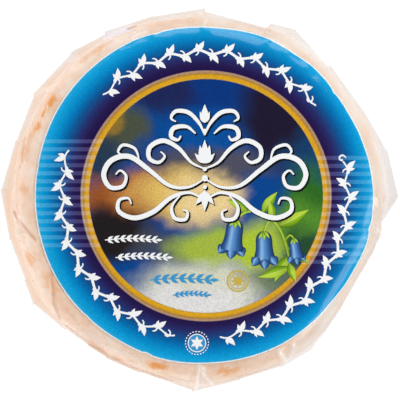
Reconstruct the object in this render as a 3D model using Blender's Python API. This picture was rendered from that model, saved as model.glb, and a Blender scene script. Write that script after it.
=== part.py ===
"""A soft ripened cheese wheel in pleated, milky film, with a round paper label on its top face.

Metres, +Z up. The wheel lies flat: the origin is under the middle of its box, on the surface it rests on,
and the label's print reads with +Y up.
"""

import bisect
import math

import bmesh
import bpy

MM = 0.001

# Driving sizes of the wrapped wheel, in millimetres
WHEEL_RADIUS = 52.0
WRAP_HEIGHT = 29.3
TOP_DOME = 0.4
SHOULDER = 7.0
SHOULDER_ANGLES = (0, 25, 45, 65, 90)
TOP_RINGS = (0.6, 0.25)
BOTTOM_ROUND = 5.0
BOTTOM_ANGLES = (25, 55, 90)
WIDEST_LEVEL = 9.0

# The film's corners, seen from above. Each has its bearing in degrees anticlockwise from +X, its distance from
# the middle, and the step down beside its fold: above zero on the anticlockwise side, below zero on the other.
FILM_CORNERS = (
    (1.0, 57.7, 0.3),
    (15.0, 56.2, 0.4),
    (29.0, 54.1, 0.2),
    (46.0, 54.4, 0.7),
    (61.0, 56.7, 0.3),
    (68.3, 55.1, 1.6),
    (88.4, 55.6, -1.1),
    (104.0, 55.1, -0.3),
    (119.6, 56.1, 0.8),
    (131.3, 57.0, 0.5),
    (147.8, 57.4, 0.6),
    (162.0, 56.2, -0.3),
    (176.8, 58.0, -0.5),
    (191.9, 56.4, 0.3),
    (204.5, 55.9, -0.3),
    (212.3, 57.1, 0.6),
    (223.7, 54.3, 0.4),
    (239.1, 53.3, -0.5),
    (250.3, 53.0, 0.3),
    (267.5, 55.6, -0.6),
    (282.6, 53.4, 0.3),
    (295.7, 54.0, -0.5),
    (307.5, 54.1, 0.5),
    (323.7, 50.9, 0.2),
    (349.5, 53.7, 0.3),
    (353.4, 53.3, -0.2),
)
STEP_WIDTH = 0.6
COLUMN_SPACING = 5.5

# The film is drawn tight over the shoulder and stands off the wheel lower down: the share of its way from the
# wheel out to its corners, at each level.
SPREAD_AT_SHOULDER = 0.35
SPREAD_UNDER = 0.7
SIDE_LEVELS = 5

# Underneath, the folds turn as they run in, are pressed flat where the wheel rests, and end in a flat knot.
FOLD_DEPTH = 0.6
FOLD_TURN = 14.0
REST_INNER = 33.0
REST_OUTER = 43.0
KNOT_RADIUS = 7.0
GATHER_RADII = (11.0, 19.0, 27.0)

# The label, laid a little off the wheel's middle and bent down over its shoulder, in millimetres
LABEL_RADIUS = 48.3
LABEL_CENTRE = (1.35, 1.5)
LABEL_THICKNESS = 0.3
LABEL_GAP = 0.35
LABEL_COLUMNS = 72
LABEL_RINGS = (0.35, 0.7, 0.86, 0.92, 0.96, 1.0)

SMOOTH_ANGLE = math.radians(28)


def clear_scene():
    """Remove what the file starts with, so that the model stands alone."""
    for item in list(bpy.data.objects):
        bpy.data.objects.remove(item, do_unlink=True)


def polar(bearing, radius):
    """The point at a bearing in degrees and a radius."""
    turn = math.radians(bearing)
    return radius * math.cos(turn), radius * math.sin(turn)


def film_folds():
    """The outline's points in order: for each corner its crest and the foot of its step, as (x, y, crest)."""
    points = []
    for bearing, radius, step in FILM_CORNERS:
        crest = (*polar(bearing, radius), 1.0)
        foot = (*polar(bearing + math.copysign(STEP_WIDTH, step), radius - abs(step)), 0.0)
        points += (crest, foot) if step > 0 else (foot, crest)
    return points


def film_columns():
    """The outline with its straight runs divided: (bearing in radians, reach, crest) for each column."""
    folds = film_folds()
    columns = []
    for start, end in zip(folds, folds[1:] + folds[:1]):
        spread = math.hypot(end[0] - start[0], end[1] - start[1])
        parts = max(1, round(spread / COLUMN_SPACING))
        for part in range(parts):
            x, y, crest = (a + (b - a) * part / parts for a, b in zip(start, end))
            columns.append((math.atan2(y, x) % math.tau, math.hypot(x, y), crest))
    return sorted(columns)


def film_reach(columns, bearing):
    """How far out the film's outline lies at a bearing, on the straight run between two columns."""
    index = bisect.bisect(columns, (bearing,)) % len(columns)
    start_bearing, start_reach, _ = columns[index - 1]
    end_bearing, end_reach, _ = columns[index]
    before = (bearing - start_bearing) % math.tau
    width = (end_bearing - start_bearing) % math.tau
    nearness = start_reach * math.sin(before) + end_reach * math.sin(width - before)
    return start_reach * end_reach * math.sin(width) / nearness


def body_radius(reach, spread):
    """The wrapped wheel's radius where the film's outline reaches so far and has spread by this share."""
    wheel = min(WHEEL_RADIUS, reach)
    return wheel + spread * (reach - wheel)


def top_height(inset, radius):
    """The height of the top face at a distance in from the side and a distance from the middle."""
    crown = WRAP_HEIGHT - TOP_DOME * (radius / WHEEL_RADIUS) ** 2
    across = max(0.0, SHOULDER - inset)
    return crown - SHOULDER + math.sqrt(SHOULDER**2 - across**2)


def under_rings(columns):
    """The underside from its knot outwards: rings of points, with the folds as steps round the gather."""
    gather = [(radius, 1.0) for radius in GATHER_RADII]
    radii = [(KNOT_RADIUS, 0.0), *gather, (REST_INNER, 0.0), (REST_OUTER, 0.0)]
    rings = []
    for radius, relief in radii:
        turn = math.radians(FOLD_TURN) * (1 - radius / REST_OUTER)
        ring = []
        for bearing, _, crest in columns:
            height = FOLD_DEPTH * relief * (1 - crest)
            ring.append((radius * math.cos(bearing + turn), radius * math.sin(bearing + turn), height))
        rings.append(ring)
    return rings


def side_rings(columns):
    """The side from the rounded bottom edge up to the shoulder's start."""
    levels = []
    for angle in BOTTOM_ANGLES:
        height = BOTTOM_ROUND * (1 - math.cos(math.radians(angle)))
        inset = BOTTOM_ROUND * (1 - math.sin(math.radians(angle)))
        levels.append((height, SPREAD_UNDER + (1 - SPREAD_UNDER) * height / WIDEST_LEVEL, inset))
    levels.append((WIDEST_LEVEL, 1.0, 0.0))
    shoulder_start = WRAP_HEIGHT - TOP_DOME - SHOULDER
    for step in range(1, SIDE_LEVELS):
        share = step / SIDE_LEVELS
        height = WIDEST_LEVEL + (shoulder_start - WIDEST_LEVEL) * share
        eased = share * share * (3 - 2 * share)
        levels.append((height, 1.0 - (1.0 - SPREAD_AT_SHOULDER) * eased, 0.0))
    rings = []
    for height, spread, inset in levels:
        ring = []
        for bearing, reach, _ in columns:
            radius = body_radius(reach, spread) - inset
            ring.append((radius * math.cos(bearing), radius * math.sin(bearing), height))
        rings.append(ring)
    return rings


def top_rings(columns):
    """The shoulder's arc and the top face, in to its middle."""
    rings = []
    for angle in SHOULDER_ANGLES:
        inset = SHOULDER * (1 - math.cos(math.radians(angle)))
        ring = []
        for bearing, reach, _ in columns:
            radius = body_radius(reach, SPREAD_AT_SHOULDER) - inset
            ring.append((radius * math.cos(bearing), radius * math.sin(bearing), top_height(inset, radius)))
        rings.append(ring)
    for share in TOP_RINGS:
        radius = (WHEEL_RADIUS - SHOULDER) * share
        height = top_height(SHOULDER, radius)
        rings.append([(radius * math.cos(b), radius * math.sin(b), height) for b, _, _ in columns])
    return rings


def skinned(name, rings, bottom, top):
    """A closed object: faces between each ring and the next, and a fan to a point at either end."""
    model = bmesh.new()
    loops = [[model.verts.new([value * MM for value in point]) for point in ring] for ring in rings]
    count = len(loops[0])
    for lower, upper in zip(loops, loops[1:]):
        for i in range(count):
            j = (i + 1) % count
            model.faces.new((lower[i], lower[j], upper[j], upper[i]))
    for point, loop in ((bottom, loops[0][::-1]), (top, loops[-1])):
        centre = model.verts.new([value * MM for value in point])
        for i in range(count):
            model.faces.new((loop[i], loop[(i + 1) % count], centre))
    bmesh.ops.recalc_face_normals(model, faces=model.faces)
    mesh = bpy.data.meshes.new(name)
    model.to_mesh(mesh)
    model.free()
    mesh.shade_smooth()
    mesh.set_sharp_from_angle(angle=SMOOTH_ANGLE)
    item = bpy.data.objects.new(name, mesh)
    bpy.context.scene.collection.objects.link(item)
    return item


def finish(item, name, colour, roughness):
    """Give an object its own material."""
    material = bpy.data.materials.new(name)
    material.use_nodes = True
    shader = material.node_tree.nodes["Principled BSDF"]
    shader.inputs["Base Color"].default_value = (*colour, 1.0)
    shader.inputs["Roughness"].default_value = roughness
    shader.inputs["Metallic"].default_value = 0.0
    item.data.materials.append(material)


def wrapped_cheese(columns):
    """The wheel with its film drawn round it, out to the film's outer face."""
    rings = under_rings(columns) + side_rings(columns) + top_rings(columns)
    item = skinned("wrapped_cheese", rings, (0.0, 0.0, 0.0), (0.0, 0.0, WRAP_HEIGHT))
    finish(item, "milky_film_on_rind", (0.86, 0.66, 0.50), 0.35)


def label(columns):
    """The printed paper disc, which follows the top face and bends down over the shoulder."""
    under, over = [], []
    for share in LABEL_RINGS:
        lower, upper = [], []
        for step in range(LABEL_COLUMNS):
            x, y = polar(360 * step / LABEL_COLUMNS, LABEL_RADIUS * share)
            x += LABEL_CENTRE[0]
            y += LABEL_CENTRE[1]
            radius = math.hypot(x, y)
            side = body_radius(film_reach(columns, math.atan2(y, x) % math.tau), SPREAD_AT_SHOULDER)
            height = top_height(side - radius, radius) + LABEL_GAP
            lower.append((x, y, height))
            upper.append((x, y, height + LABEL_THICKNESS))
        under.append(lower)
        over.insert(0, upper)
    middle = WRAP_HEIGHT + LABEL_GAP
    bottom = (*LABEL_CENTRE, middle)
    top = (*LABEL_CENTRE, middle + LABEL_THICKNESS)
    item = skinned("label", under + over, bottom, top)
    finish(item, "printed_paper", (0.02, 0.25, 0.62), 0.4)


def main():
    clear_scene()
    columns = film_columns()
    wrapped_cheese(columns)
    label(columns)


main()
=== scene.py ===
"""A soft ripened cheese wheel shut in milky, pleated film under a round printed label, seen from above."""
import bisect
import math
import random

import bpy
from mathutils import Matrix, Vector, noise


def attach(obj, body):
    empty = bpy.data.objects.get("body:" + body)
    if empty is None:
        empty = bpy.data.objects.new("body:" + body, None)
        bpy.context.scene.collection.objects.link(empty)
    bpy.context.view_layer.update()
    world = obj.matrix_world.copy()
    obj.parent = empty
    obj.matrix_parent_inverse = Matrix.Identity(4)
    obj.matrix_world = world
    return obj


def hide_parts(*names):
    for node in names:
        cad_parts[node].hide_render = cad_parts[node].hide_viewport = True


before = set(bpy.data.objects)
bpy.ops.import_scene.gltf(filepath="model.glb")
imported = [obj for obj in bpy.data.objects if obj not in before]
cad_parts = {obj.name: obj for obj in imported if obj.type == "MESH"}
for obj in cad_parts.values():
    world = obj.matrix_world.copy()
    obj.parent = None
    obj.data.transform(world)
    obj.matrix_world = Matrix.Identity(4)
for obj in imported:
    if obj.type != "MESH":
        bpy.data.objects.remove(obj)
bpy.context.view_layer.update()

# Sizes in millimetres, as the solids have them
MM = 0.001
WHEEL_RADIUS = 52.0
WRAP_HEIGHT = 29.3
TOP_DOME = 0.4
SHOULDER = 7.0
SHOULDER_START = WRAP_HEIGHT - TOP_DOME - SHOULDER
BOTTOM_ROUND = 5.0
WIDEST_LEVEL = 9.0
FILM_CORNERS = (
    (1.0, 57.7, 0.3),
    (15.0, 56.2, 0.4),
    (29.0, 54.1, 0.2),
    (46.0, 54.4, 0.7),
    (61.0, 56.7, 0.3),
    (68.3, 55.1, 1.6),
    (88.4, 55.6, -1.1),
    (104.0, 55.1, -0.3),
    (119.6, 56.1, 0.8),
    (131.3, 57.0, 0.5),
    (147.8, 57.4, 0.6),
    (162.0, 56.2, -0.3),
    (176.8, 58.0, -0.5),
    (191.9, 56.4, 0.3),
    (204.5, 55.9, -0.3),
    (212.3, 57.1, 0.6),
    (223.7, 54.3, 0.4),
    (239.1, 53.3, -0.5),
    (250.3, 53.0, 0.3),
    (267.5, 55.6, -0.6),
    (282.6, 53.4, 0.3),
    (295.7, 54.0, -0.5),
    (307.5, 54.1, 0.5),
    (323.7, 50.9, 0.2),
    (349.5, 53.7, 0.3),
    (353.4, 53.3, -0.2),
)
STEP_WIDTH = 0.6
SPREAD_AT_SHOULDER = 0.35
SPREAD_UNDER = 0.7
FOLD_DEPTH = 0.6
FOLD_TURN = 14.0
REST_INNER = 33.0
REST_OUTER = 43.0
LABEL_RADIUS = 48.3
LABEL_CENTRE = (1.35, 1.5)

# The film's own sizes: its columns' spacing, the gap between folded layers, and how far a fold laps over
# on the side, where it turns under, and underneath
THREAD_SPACING = 0.5
LAYER_GAP = 0.2
LAP_LOW = 1.5
LAP_EDGE = 0.4
LAP_UNDER = 3.2

# The radii of the film's rings underneath and over the top, and its rings on the side up to its widest level
UNDER_RINGS = (1.2, 2.4, 4, 6, 8, 10, 12, 15, 18, 21, 24, 27, 30, 33, 36, 39, 41.5, 43)
TOP_RINGS = (43, 38, 28, 14)
LOW_LEVELS = (6, 7, 8, WIDEST_LEVEL)
SIDE_STEPS = 20
KNOT_HOLLOW = 0.2
FLOOR_GAP = 0.03

# A fold may take so much of the run beside it. It starts to open at a height between these two, over this rise,
# and is open all over the shoulder. Creases are drawn above the last height.
FOLD_ROOM = 0.7
FOLD_TOPS = (10, 17)
FOLD_OPENING = 5
OVER_FOLDS = 28
CREASES_FROM = 12

# The bearing towards the lamps at the back and right, where the film is painted whiter as their sheen, and the
# bearing where it lies closest to the rind
SHEEN_BEARING = math.radians(8)
CLOSEST = math.radians(205)

# How much the film bellies, hangs in creases and puckers over the shoulder, and its fine crinkle
BELLY = 0.22
DRAPE = 0.08
PUCKER = 0.20
CRINKLE = 0.03

# The way through a fold from its crest: the share of its lap, and how deep it lies under the crest
FOLD_PATH = (
    (0.0, 0.0), (0.0, 0.35), (0.3, 0.5), (0.65, 0.5), (0.95, 0.55),
    (1.0, 0.75), (0.95, 0.95), (0.65, 1.0), (0.3, 1.0), (0.0, 1.0),
)

# Creases that show round the label: height, half width, tone (above zero whitened, below zero darkened brown, a
# painted shade on the fold's shadow side with some of the rind's stain), then points in millimetres from the
# wheel's middle
CREASES = (
    (0.40, 0.85, -0.80, (-53.4, -3.2), (-51.7, -6.0), (-49.2, -8.9), (-46.8, -11.5)),
    (0.25, 0.8, -0.3, (-53.6, -1.7), (-50.1, -1.4)),
    (0.25, 0.8, -0.3, (-53.6, -9.9), (-50.5, -8.6)),
    (0.40, 1.1, -0.55, (-42.3, -20.4), (-41.7, -29.5), (-40.1, -34.0)),
    (0.35, 1.0, 0.3, (-36.4, -32.2), (-39.1, -36.6)),
    (0.30, 0.9, -0.3, (-38.6, -30.4), (-34.4, -35.8)),
    (0.30, 1.4, -0.6, (-31.6, -41.4), (-27.3, -43.4)),
    (0.35, 0.9, 0.5, (-26.7, -41.5), (-20.9, -44.1), (-17.3, -45.5)),
    (0.40, 0.9, 0.35, (-17.3, -45.4), (-17.7, -49.2)),
    (0.35, 0.9, 0.35, (-19.8, -46.4), (-15.2, -48.4)),
    (0.25, 1.0, -0.6, (-25.2, -44.8), (-22.8, -46.0)),
    (0.25, 0.8, -0.3, (-8.4, -50.7), (-2.4, -51.8)),
    (0.55, 1.0, 0.62, (0.0, -47.0), (-0.4, -50.0), (-1.2, -54.6)),
    (0.50, 1.0, 0.6, (0.3, -47.2), (1.4, -49.8), (3.6, -52.8)),
    (0.20, 1.2, -0.35, (-0.9, -48.0), (-2.2, -51.4)),
    (0.20, 1.4, 0.3, (0.5, -50.0), (0.8, -53.6)),
    (0.20, 0.8, -0.3, (13.0, -46.6), (12.4, -49.6)),
    (0.55, 1.2, 0.55, (22.6, -42.6), (24.7, -46.2)),
    (0.50, 1.1, 0.5, (26.8, -41.5), (24.9, -46.0)),
    (0.40, 1.1, 0.32, (45.0, -6.3), (49.0, -7.2), (52.0, -9.4)),
    (0.30, 0.9, -0.25, (52.4, -8.0), (49.6, -10.2)),
    (0.40, 1.2, -0.22, (50.4, 2.0), (51.7, -3.5), (50.1, -8.2)),
    (0.30, 1.0, -0.15, (52.6, 14.0), (54.2, 5.5)),
    (0.30, 0.9, -0.55, (-50.3, 18.0), (-51.2, 9.4)),
    (0.25, 0.9, -0.4, (-48.6, 18.6), (-49.9, 11.0)),
    (0.25, 0.9, -0.2, (-51.6, 14.0), (-52.6, 4.4)),
    (0.30, 1.3, 0.28, (-47.9, 29.9), (-44.6, 31.8), (-40.0, 31.0)),
    (0.35, 1.1, -0.30, (-33.2, 40.6), (-29.4, 43.6), (-25.0, 45.6)),
    (0.30, 1.0, -0.25, (-35.6, 38.5), (-30.0, 43.6)),
    (0.30, 1.0, -0.75, (-29.4, 46.8), (-27.2, 48.2)),
    (0.30, 1.0, -0.7, (-20.8, 49.1), (-18.4, 49.9)),
    (0.35, 1.2, 0.4, (-19.6, 46.5), (-15.4, 48.4)),
    (0.25, 1.0, -0.10, (-12.6, 49.6), (-7.0, 50.6), (-1.8, 50.8)),
    (0.50, 1.0, 0.3, (0.0, 54.6), (1.8, 49.6)),
    (0.35, 1.0, -0.35, (20.4, 50.8), (18.4, 48.4)),
    (0.30, 1.0, 0.25, (20.2, 49.2), (27.4, 48.2)),
    (0.30, 1.0, 0.2, (26.5, 48.5), (36.0, 38.4)),
)

# Places where a fold lies flat and the film is double: how much milkier it is, then its corners
FLAPS = (
    (0.95, (-28.9, 47.4), (-25.5, 50.6), (-20.0, 51.2), (-19.1, 48.4), (-23.8, 47.0), (-27.6, 46.1)),
    (0.30, (-33.8, -40.3), (-30.7, -41.5), (-27.3, -42.1), (-28.1, -39.4), (-29.9, -37.7), (-33.4, -36.5),
     (-36.4, -37.7)),
    (0.22, (0.2, -47.6), (-1.2, -55.5), (3.4, -54.1)),
    (0.12, (26.7, -40.9), (29.6, -36.3), (36.6, -33.9), (33.5, -44.2), (24.9, -47.7)),
    (0.25, (51.4, 15.6), (54.8, 14.6), (55.9, 9.0), (52.0, 11.3)),
    (0.25, (52.0, 5.3), (58.6, 6.5), (54.9, -0.9), (51.6, 2.0)),
    (0.35, (-41.0, 40.0), (-38.3, 43.1), (-34.6, 41.8), (-36.3, 39.5)),
    (0.25, (-50.6, 22.0), (-48.6, 28.4), (-45.4, 31.6), (-44.9, 29.0), (-47.4, 25.0), (-49.0, 21.0)),
    (0.22, (-53.4, -4.0), (-49.6, -9.3), (-47.9, -14.0), (-52.0, -12.0)),
)


def from_hex(code):
    """An sRGB hex colour as linear red, green, blue and alpha."""
    shares = [int(code[i : i + 2], 16) / 255 for i in (1, 3, 5)]
    return (*(s / 12.92 if s <= 0.04045 else ((s + 0.055) / 1.055) ** 2.4 for s in shares), 1.0)


def feed(tree, item, inputs):
    """Give a node's inputs their values, or link them from other nodes' outputs."""
    for key, value in inputs.items():
        if isinstance(value, bpy.types.NodeSocket):
            tree.links.new(value, item.inputs[key])
        else:
            item.inputs[key].default_value = value


def node(tree, kind, inputs, stops=None, gives=None, **settings):
    """Add a node with its settings, ramp stops and inputs, and return the output named, or its first."""
    made = tree.nodes.new("ShaderNode" + kind)
    for name, value in settings.items():
        setattr(made, name, value)
    if stops:
        ends = made.color_ramp.elements
        for element, (spot, colour) in ((ends[1], stops[-1]), (ends[0], stops[0])):
            element.position = spot
            element.color = from_hex(colour)
        for spot, colour in stops[1:-1]:
            ends.new(spot).color = from_hex(colour)
    feed(tree, made, inputs)
    return made.outputs[gives] if gives else next(output for output in made.outputs if output.enabled)


def new_material(name):
    """A new material, its node tree and its bare Principled shader."""
    material = bpy.data.materials.new(name)
    material.use_nodes = True
    return material, material.node_tree, material.node_tree.nodes["Principled BSDF"]


def smooth(value):
    """An eased 0 to 1."""
    value = min(1.0, max(0.0, value))
    return value * value * (3 - 2 * value)


def between(bearing, other):
    """The angle between two bearings in degrees, 0 to 180."""
    return abs((bearing - other + 180) % 360 - 180)


def start_piece(name):
    """The primitive just added becomes a named piece."""
    piece = bpy.context.object
    piece.name = name
    piece.data.name = name
    return piece


def rest_on_wheel(piece, slot, *nodes):
    """The finished piece rides with the wheel and stands for the named nodes; its slot is not used."""
    bpy.ops.object.select_all(action="DESELECT")
    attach(piece, "root")
    if nodes:
        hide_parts(*nodes)


# The wheel's outline and faces, by the same rules as the solids


def outline():
    """The film's corners in order round the wheel: bearing and reach of each crest and each step's foot."""
    points = []
    for bearing, radius, step in FILM_CORNERS:
        foot = bearing + math.copysign(STEP_WIDTH, step)
        points.append((math.radians(bearing) % math.tau, radius))
        points.append((math.radians(foot) % math.tau, radius - abs(step)))
    return sorted(points)


OUTLINE = outline()


def film_reach(bearing):
    """How far out the film's outline lies at a bearing, on the straight run between two corners."""
    bearing %= math.tau
    index = bisect.bisect(OUTLINE, (bearing,)) % len(OUTLINE)
    start_bearing, start_reach = OUTLINE[index - 1]
    end_bearing, end_reach = OUTLINE[index]
    before = (bearing - start_bearing) % math.tau
    width = (end_bearing - start_bearing) % math.tau
    nearness = start_reach * math.sin(before) + end_reach * math.sin(width - before)
    return start_reach * end_reach * math.sin(width) / nearness


def body_radius(reach, spread):
    """The wrapped wheel's radius where the film's outline reaches so far and has spread by this share."""
    wheel = min(WHEEL_RADIUS, reach)
    return wheel + spread * (reach - wheel)


def spread_at(height):
    """The share that the film has spread from the wheel out to its corners at a height on its side."""
    if height < WIDEST_LEVEL:
        return SPREAD_UNDER + (1 - SPREAD_UNDER) * height / WIDEST_LEVEL
    return 1 - (1 - SPREAD_AT_SHOULDER) * smooth((height - WIDEST_LEVEL) / (SHOULDER_START - WIDEST_LEVEL))


def top_height(inset, radius):
    """The height of the top face at a distance in from the side and a distance from the middle."""
    crown = WRAP_HEIGHT - TOP_DOME * (radius / WHEEL_RADIUS) ** 2
    across = max(0.0, SHOULDER - inset)
    return crown - SHOULDER + math.sqrt(max(0.0, SHOULDER**2 - across**2))


def height_over(x, y):
    """The height of the film's top face over a point."""
    radius = math.hypot(x, y)
    side = body_radius(film_reach(math.atan2(y, x)), SPREAD_AT_SHOULDER)
    return top_height(side - radius, radius)


# The film: one closed skin, folded back on itself at every corner


def film_threads():
    """The film's columns in order: each one's bearing, and how it lies where its fold is shut or let out."""
    count = len(FILM_CORNERS)
    width = math.radians(STEP_WIDTH)
    threads = []
    heights = random.Random(4)
    for index, (bearing, _, step) in enumerate(FILM_CORNERS):
        before, after = FILM_CORNERS[(index - 1) % count], FILM_CORNERS[(index + 1) % count]
        hand = math.copysign(1.0, step)
        beside = before if step > 0 else after
        plain = {
            "step": abs(step), "fold_top": heights.uniform(*FOLD_TOPS),
            "room": math.radians(between(bearing, beside[0])) * FOLD_ROOM,
            "shift": 0.0, "depth": 0.0, "let_out": 0.0,
        }
        foot = {**plain, "bearing": math.radians(bearing) + hand * width, "crest": 0.0}
        fold = []
        for rank, (shift, depth) in enumerate(FOLD_PATH):
            fold.append({
                **plain, "bearing": math.radians(bearing), "crest": 1 - depth, "shift": -hand * shift,
                "depth": depth, "let_out": hand * width * rank / len(FOLD_PATH),
            })
        threads += [*fold, foot] if step > 0 else [foot, *fold[::-1]]

        # The plain run from this corner to the next
        start = threads[-1]
        ahead = -STEP_WIDTH if after[2] < 0 else 0.0
        end = math.radians(after[0] + ahead + (360 if index == count - 1 else 0))
        rise = (1.0 if after[2] > 0 else 0.0) - start["crest"]
        parts = max(2, round((end - start["bearing"]) * WHEEL_RADIUS / THREAD_SPACING))
        for part in range(1, parts):
            share = part / parts
            along = start["bearing"] + (end - start["bearing"]) * share
            threads.append({**plain, "bearing": along, "crest": start["crest"] + rise * share})
    return threads


def film_levels():
    """The film's rings from the underside's knot up to the top: what each one needs to place its points."""
    levels = []
    for radius in UNDER_RINGS:
        relief = smooth(radius / 9) * (1 - smooth((radius - 27) / (REST_INNER - 27)))
        lap = LAP_EDGE + (LAP_UNDER - LAP_EDGE) * (1 - smooth((radius - 36) / 5))
        levels.append({
            "under": radius, "depth": LAYER_GAP + (FOLD_DEPTH - LAYER_GAP) * relief,
            "lap": min(lap, 0.8 * math.tau * radius / len(FILM_CORNERS)),
        })
    for angle in range(15, 91, 15):
        turn = math.radians(angle)
        height = BOTTOM_ROUND * (1 - math.cos(turn))
        levels.append({
            "height": height, "inset": BOTTOM_ROUND * (1 - math.sin(turn)), "spread": spread_at(height),
            "lap": LAP_EDGE, "out": (math.sin(turn), -math.cos(turn)),
        })
    side = SHOULDER_START - WIDEST_LEVEL
    for height in (*LOW_LEVELS, *(WIDEST_LEVEL + side * step / SIDE_STEPS for step in range(1, SIDE_STEPS))):
        lap = LAP_EDGE + (LAP_LOW - LAP_EDGE) * smooth((height - WIDEST_LEVEL) / side * 4)
        levels.append({
            "height": height, "inset": 0.0, "spread": spread_at(height), "lap": lap, "out": (1, 0),
        })
    for angle in range(0, 89, 4):
        turn = math.radians(angle)
        levels.append({
            "inset": SHOULDER * (1 - math.cos(turn)), "spread": SPREAD_AT_SHOULDER, "lap": LAP_LOW,
            "out": (math.cos(turn), math.sin(turn)),
        })
    return levels + [{"over": radius} for radius in TOP_RINGS]


def crease_at(x, y):
    """How far the creases lift the film at a point seen from above, and their tone there: whitened above zero,
    and below zero a painted shade on the fold's shadow side with some of the rind's stain.
    """
    lift, tone = 0.0, 0.0
    for height, width, shade, *points in CREASES:
        for (ax, ay), (bx, by) in zip(points, points[1:]):
            length = math.hypot(bx - ax, by - ay)
            along = ((x - ax) * (bx - ax) + (y - ay) * (by - ay)) / length**2
            if -0.5 < along < 1.5:
                off = math.hypot(x - ax - along * (bx - ax), y - ay - along * (by - ay))
                off += length * max(0.0, -along, along - 1)
                near = max(0.0, 1 - off / width)
                lift = max(lift, height * near**1.3)
                # The strongest crease sets the tone; below zero it is painted shade on the fold's shadow side
                if near * abs(shade) > abs(tone):
                    tone = near * shade
    return lift, tone


def layers_at(x, y):
    """How much milkier the film is at a point seen from above because a fold doubles it there."""
    extra = 0.0
    for share, *corners in FLAPS:
        pairs = list(zip(corners, corners[1:] + corners[:1]))
        hand = math.copysign(1.0, sum(ax * by - ay * bx for (ax, ay), (bx, by) in pairs))
        inside = min(
            hand * ((bx - ax) * (y - ay) - (by - ay) * (x - ax)) / math.hypot(bx - ax, by - ay)
            for (ax, ay), (bx, by) in pairs
        )
        extra = max(extra, share * smooth(inside / 0.5 + 0.5))
    return extra


def crumple(x, y, z, bearing):
    """How far the film stands off its plain form: slack and hanging creases, and sharp ones higher up."""
    # What divides a place is the size of the waves there in millimetres, and what is added moves to another part
    # of the noise
    slack, loose = smooth((z - 10) / 8), smooth((z - 21) / 4)
    belly = BELLY * noise.noise(Vector((x / 14, y / 14, z / 40)))
    drift = noise.noise(Vector((x / 9, y / 9, z / 30)) + Vector((5, 1, 7)))
    drape = 1 - 2.4 * abs(noise.noise(Vector((bearing * WHEEL_RADIUS / 5.5 + 1.5 * drift, z / 40, 3.0))))
    sharp = abs(noise.noise(Vector((x, y, z)) / 6.5 + Vector((11, 4, 2))))
    fine = abs(noise.noise(Vector((x, y, z)) / 2.6 + Vector((3, 9, 5))))
    return slack * (belly + DRAPE * max(0.0, drape) ** 2) - loose * (PUCKER * sharp + CRINKLE * fine)


def sheen_side(bearing):
    """How far a bearing lies towards the side where the film is painted whiter, a sheen of the lamps at the back
    and right, 0 to 1.
    """
    return smooth((math.cos(bearing - SHEEN_BEARING) + 0.35) / 1.2)


def haze_at(x, y, z, bearing):
    """How milky the film is, 0 to 1: nearly shut where it hangs steep, in streaks of thicker wax, and whiter
    towards the lamps as a painted sheen.
    """
    streak = noise.noise(Vector((bearing * WHEEL_RADIUS / 16, z / 4.5, 8.0)))
    cloud = noise.noise(Vector((x / 10, y / 10, z / 20)) + Vector((2, 6, 1)))
    # Milkier towards the lamps at the back and right: a painted sheen, over the wax's own streaks and clouds
    over_rind = min(0.9, max(0.02, 0.10 + 0.62 * sheen_side(bearing) + 0.16 * streak + 0.16 * cloud))
    steep = 1 - smooth((z - 20.5) / (5.5 + 2 * streak))
    return over_rind + (1 - over_rind) * steep


def warmth_at(x, y, z, bearing):
    """How much of the rind's peach the film shows where it lies against it, 0 to 1, in drawn-out streaks."""
    streak = noise.noise(Vector((bearing * WHEEL_RADIUS / 13, z / 2.6, 4.0)))
    cloud = noise.noise(Vector((x / 8, y / 8, z / 12)) + Vector((7, 3, 2)))
    near_side = max(0.0, math.cos(bearing - CLOSEST))
    # Less of the rind's peach shows towards the lamps at the back and right, under their painted sheen
    touching = smooth((z - 8.5 - 3.5 * sheen_side(bearing)) / 8) + 0.55 * smooth(1 - z / 8)
    share = 0.62 - 0.40 * sheen_side(bearing) + 0.42 * near_side + 0.4 * streak + 0.4 * cloud
    return min(1.0, max(0.0, touching * share))


def film_point(thread, level):
    """Where a column of the film crosses a ring, in millimetres."""
    bearing, shift, depth = thread["bearing"], thread["shift"], thread["depth"]
    if "under" in level:
        radius = level["under"]
        lap = min(level["lap"], thread["room"] * radius)
        turn = bearing + shift * lap / radius + math.radians(FOLD_TURN) * (1 - radius / REST_OUTER)
        x, y = radius * math.cos(turn), radius * math.sin(turn)
        soft = 0.12 * abs(noise.noise(Vector((x, y, 0)) / 3)) * smooth(radius / 6)
        return x, y, FLOOR_GAP + level["depth"] * (1 - thread["crest"]) + soft
    if "over" in level:
        radius = level["over"]
        x, y = radius * math.cos(bearing), radius * math.sin(bearing)
        return x, y, height_over(x, y)
    shut = 1 - smooth((level.get("height", OVER_FOLDS) - thread["fold_top"]) / FOLD_OPENING)
    lap = min(level["lap"], thread["room"] * WHEEL_RADIUS) * shut
    turn = bearing + shift * lap / WHEEL_RADIUS + thread["let_out"] * (1 - shut)
    side = body_radius(film_reach(turn), level["spread"])
    radius = side - level["inset"] - depth * shut * max(LAYER_GAP, thread["step"] * level["spread"])
    height = level.get("height", top_height(level["inset"], radius))
    x, y = radius * math.cos(turn), radius * math.sin(turn)
    beyond_label = math.hypot(x - LABEL_CENTRE[0], y - LABEL_CENTRE[1]) - LABEL_RADIUS
    free = smooth((beyond_label + 0.4) / 1.6) * smooth(height / 5)
    off = free * crumple(x, y, height, turn)
    if height > CREASES_FROM:
        off += free * crease_at(x, y)[0]
    outward, upward = level["out"]
    radius += off * outward
    return radius * math.cos(turn), radius * math.sin(turn), max(FLOOR_GAP, height + off * upward)


# What the film's points carry for its finish, each 0 to 1, and the creases' tone from -1 to 1, below zero their
# painted shade
FILM_MARKS = ("haze", "warmth", "double", "tone")


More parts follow.
